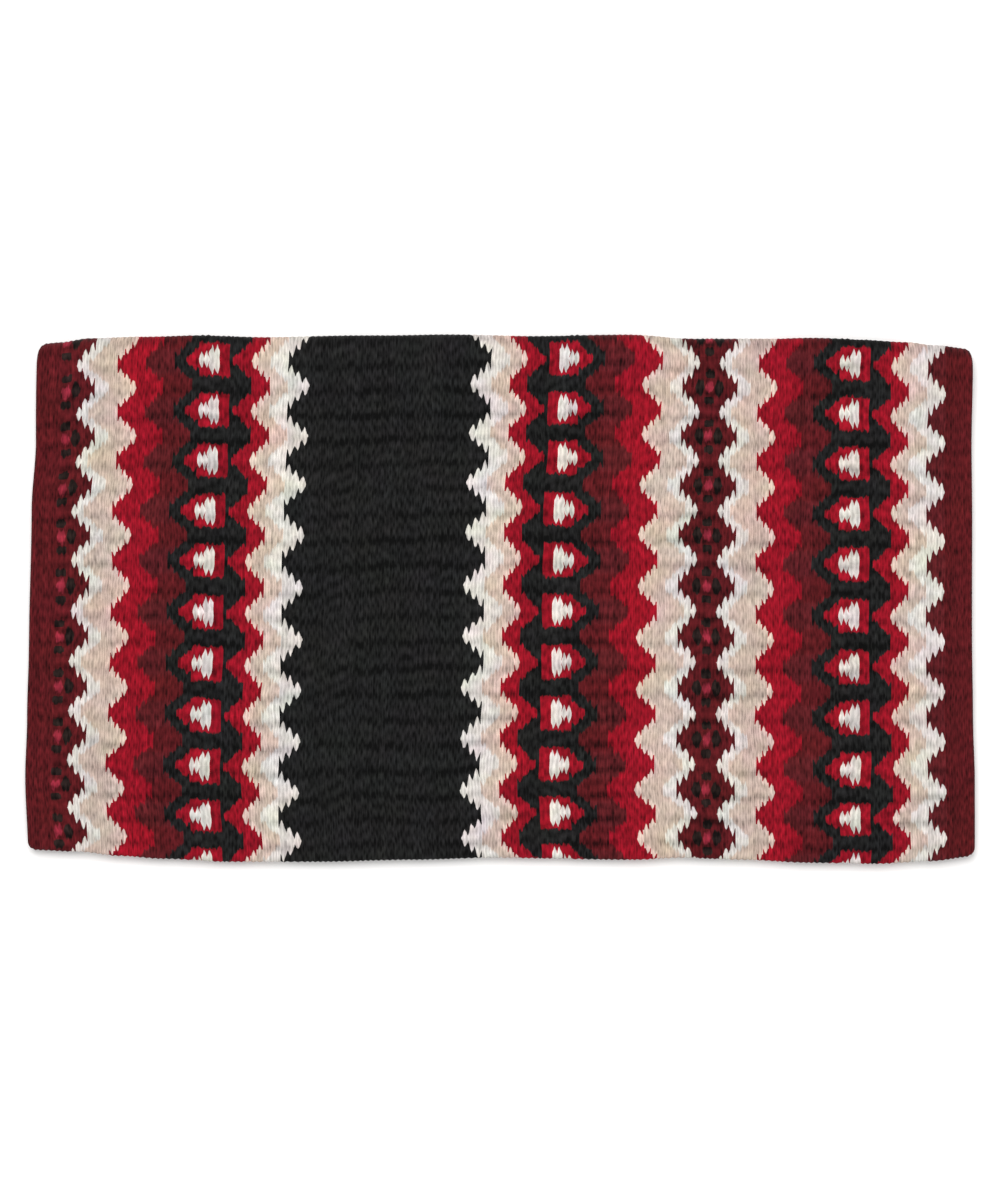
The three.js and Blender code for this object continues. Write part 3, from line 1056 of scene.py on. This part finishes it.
def floor_material(colour):
    """Plain pale matt floor."""
    material = bpy.data.materials.new("pale_floor")
    material.use_nodes = True
    tree = material.node_tree
    paint = tree.nodes["Principled BSDF"]
    paint.inputs["Base Color"].default_value = (*colour, 1)
    paint.inputs["Roughness"].default_value = 0.9
    paint.inputs["Specular IOR Level"].default_value = 0.1
    return material


def area_light(scene, name, place, aim, size, power):
    """A square soft light at a place, turned to its aim."""
    data = bpy.data.lights.new(name, "AREA")
    data.energy = power
    data.size = size
    light = bpy.data.objects.new(name, data)
    light.location = place
    light.rotation_euler = (Vector(aim) - Vector(place)).to_track_quat("-Z", "Y").to_euler()
    scene.collection.objects.link(light)
    return light


class BLANKET_OT_stage(bpy.types.Operator):
    """Lay a pale floor, set soft lights and place the camera above the blanket"""

    bl_idname = "blanket.stage"
    bl_label = "Set Up Studio"

    def execute(self, context):
        scene = context.scene
        studio = scene.studio_sizes
        side = studio.floor_size / 2
        mesh = bpy.data.meshes.new("studio_floor")
        corners = [(-side, -side, 0), (side, -side, 0), (side, side, 0), (-side, side, 0)]
        mesh.from_pydata(corners, [], [(0, 1, 2, 3)])
        mesh.materials.append(floor_material(studio.floor_colour))
        floor = bpy.data.objects.new("studio_floor", mesh)
        scene.collection.objects.link(floor)

        target = Vector((0, AIM_Y, AIM_HEIGHT))
        area_light(scene, "key_light", KEY_PLACE, target, KEY_SIDE, studio.key_power)
        area_light(scene, "fill_light", FILL_PLACE, target, FILL_SIDE, studio.fill_power)

        world = bpy.data.worlds.new("soft_room")
        world.use_nodes = True
        room = world.node_tree.nodes["Background"]
        room.inputs["Color"].default_value = (1, 1, 1, 1)
        room.inputs["Strength"].default_value = studio.room_light
        scene.world = world
        scene.view_settings.view_transform = "Standard"

        lens = bpy.data.cameras.new("camera")
        lens.sensor_width = 36
        lens.lens = lens.sensor_width * studio.camera_distance / studio.frame_height
        camera = bpy.data.objects.new("camera", lens)
        rise = studio.camera_elevation
        back = Vector((0, -math.cos(rise), math.sin(rise)))
        camera.location = target + back * studio.camera_distance
        camera.rotation_euler = (-back).to_track_quat("-Z", "Y").to_euler()
        scene.collection.objects.link(camera)
        scene.camera = camera
        return {"FINISHED"}


class BLANKET_PT_panel(bpy.types.Panel):
    """Lists the blanket's operators and sizes"""

    bl_idname = "BLANKET_PT_panel"
    bl_label = "Saddle Blanket"
    bl_space_type = "VIEW_3D"
    bl_region_type = "UI"
    bl_category = "Blanket"

    def draw(self, context):
        layout = self.layout
        layout.operator(BLANKET_OT_weave.bl_idname)
        layout.operator(BLANKET_OT_stage.bl_idname)
        scene = context.scene
        for group in (scene.blanket_sizes, scene.yarn_colours, scene.studio_sizes):
            box = layout.box()
            for name in group.__annotations__:
                box.prop(group, name)


CLASSES = (BlanketSizes, YarnColours, StudioSizes, BLANKET_OT_weave, BLANKET_OT_stage, BLANKET_PT_panel)


def register():
    for cls in CLASSES:
        bpy.utils.register_class(cls)
    bpy.types.Scene.blanket_sizes = bpy.props.PointerProperty(type=BlanketSizes)
    bpy.types.Scene.yarn_colours = bpy.props.PointerProperty(type=YarnColours)
    bpy.types.Scene.studio_sizes = bpy.props.PointerProperty(type=StudioSizes)


def unregister():
    del bpy.types.Scene.studio_sizes
    del bpy.types.Scene.yarn_colours
    del bpy.types.Scene.blanket_sizes
    for cls in reversed(CLASSES):
        bpy.utils.unregister_class(cls)


def main():
    """Register the classes and make every piece in order."""
    register()
    bpy.ops.blanket.stage()
    bpy.ops.blanket.weave()


if __name__ == "__main__":
    main()
